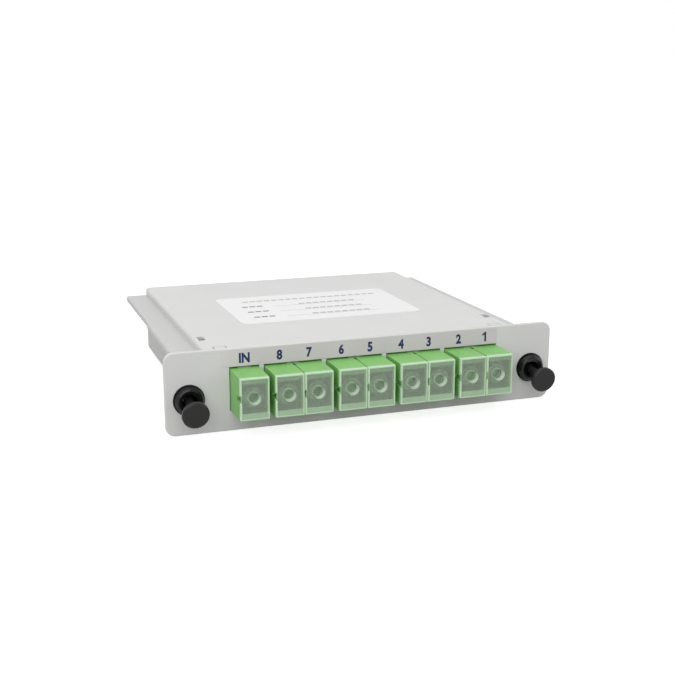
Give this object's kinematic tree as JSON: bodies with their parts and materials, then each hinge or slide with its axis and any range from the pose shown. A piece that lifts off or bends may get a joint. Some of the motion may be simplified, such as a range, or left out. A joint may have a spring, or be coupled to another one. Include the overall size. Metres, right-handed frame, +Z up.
{
  "type": "plc fibre splitter",
  "caption": "Plug-in optical splitter cassette: flat grey metal box with a wide front panel, green capped fibre adapters and black push-pull latches.",
  "frame": {"origin": "middle of the bounding box, at the level of the panel's lower edge", "axes": "+X right and +Z up as seen from the front, +Y from the front panel to the back of the box"},
  "size_m": [0.13, 0.1186, 0.026],
  "materials": {
    "panel_paint": "light grey powder coat, fine orange peel",
    "box_paint": "light grey powder coat on folded sheet",
    "screw_steel": "zinc plated",
    "strip_film": "printed film, satin",
    "label_paper": "white label, satin",
    "adapter_plastic": "moulded green plastic",
    "clip_steel": "spring steel",
    "sleeve_ceramic": "polished ceramic",
    "cap_plastic": "clear moulded plastic",
    "connector_plastic": "green moulded plastic",
    "case_steel": "plain steel tube",
    "fibre_jacket_input": "white tight buffer",
    "fibre_jacket": "yellow tight buffer",
    "latch_plastic": "black nylon, satin"
  },
  "bodies": {
    "cassette": {"front_panel": "panel_paint", "base_pan": "box_paint", "top_cover": "box_paint", "cover_screws": "screw_steel", "number_strip": "strip_film", "top_label": "label_paper", "adapter_in": "adapter_plastic", "adapter_8_7": "adapter_plastic", "adapter_6_5": "adapter_plastic", "adapter_4_3": "adapter_plastic", "adapter_2_1": "adapter_plastic", "clip_in": "clip_steel", "clip_8_7": "clip_steel", "clip_6_5": "clip_steel", "clip_4_3": "clip_steel", "clip_2_1": "clip_steel", "sleeve_in": "sleeve_ceramic", "sleeve_8": "sleeve_ceramic", "sleeve_7": "sleeve_ceramic", "sleeve_6": "sleeve_ceramic", "sleeve_5": "sleeve_ceramic", "sleeve_4": "sleeve_ceramic", "sleeve_3": "sleeve_ceramic", "sleeve_2": "sleeve_ceramic", "sleeve_1": "sleeve_ceramic", "connector_in": "connector_plastic", "connector_8": "connector_plastic", "connector_7": "connector_plastic", "connector_6": "connector_plastic", "connector_5": "connector_plastic", "connector_4": "connector_plastic", "connector_3": "connector_plastic", "connector_2": "connector_plastic", "connector_1": "connector_plastic", "splitter_case": "case_steel", "fibre_in": "fibre_jacket_input", "fibre_8": "fibre_jacket", "fibre_7": "fibre_jacket", "fibre_6": "fibre_jacket", "fibre_5": "fibre_jacket", "fibre_4": "fibre_jacket", "fibre_3": "fibre_jacket", "fibre_2": "fibre_jacket", "fibre_1": "fibre_jacket", "latch_grommet_left": "latch_plastic", "latch_grommet_right": "latch_plastic"},
    "cap_in": {"dust_cap_in": "cap_plastic"},
    "cap_8": {"dust_cap_8": "cap_plastic"},
    "cap_7": {"dust_cap_7": "cap_plastic"},
    "cap_6": {"dust_cap_6": "cap_plastic"},
    "cap_5": {"dust_cap_5": "cap_plastic"},
    "cap_4": {"dust_cap_4": "cap_plastic"},
    "cap_3": {"dust_cap_3": "cap_plastic"},
    "cap_2": {"dust_cap_2": "cap_plastic"},
    "cap_1": {"dust_cap_1": "cap_plastic"},
    "plunger_left": {"latch_plunger_left": "latch_plastic"},
    "plunger_right": {"latch_plunger_right": "latch_plastic"}
  },
  "joints": [
    {"name": "push_left", "type": "slide", "parent": "cassette", "child": "plunger_left", "axis": [0, 0.9896, 0.1441], "range_m": [0, 0.005]},
    {"name": "push_right", "type": "slide", "parent": "cassette", "child": "plunger_right", "axis": [0, 0.9896, 0.1441], "range_m": [0, 0.005]},
    {"name": "pull_cap_in", "type": "slide", "parent": "cassette", "child": "cap_in", "axis": [0, -1, 0], "range_m": [0, 0.012]},
    {"name": "pull_cap_8", "type": "slide", "parent": "cassette", "child": "cap_8", "axis": [0, -1, 0], "range_m": [0, 0.012]},
    {"name": "pull_cap_7", "type": "slide", "parent": "cassette", "child": "cap_7", "axis": [0, -1, 0], "range_m": [0, 0.012]},
    {"name": "pull_cap_6", "type": "slide", "parent": "cassette", "child": "cap_6", "axis": [0, -1, 0], "range_m": [0, 0.012]},
    {"name": "pull_cap_5", "type": "slide", "parent": "cassette", "child": "cap_5", "axis": [0, -1, 0], "range_m": [0, 0.012]},
    {"name": "pull_cap_4", "type": "slide", "parent": "cassette", "child": "cap_4", "axis": [0, -1, 0], "range_m": [0, 0.012]},
    {"name": "pull_cap_3", "type": "slide", "parent": "cassette", "child": "cap_3", "axis": [0, -1, 0], "range_m": [0, 0.012]},
    {"name": "pull_cap_2", "type": "slide", "parent": "cassette", "child": "cap_2", "axis": [0, -1, 0], "range_m": [0, 0.012]},
    {"name": "pull_cap_1", "type": "slide", "parent": "cassette", "child": "cap_1", "axis": [0, -1, 0], "range_m": [0, 0.012]}
  ]
}
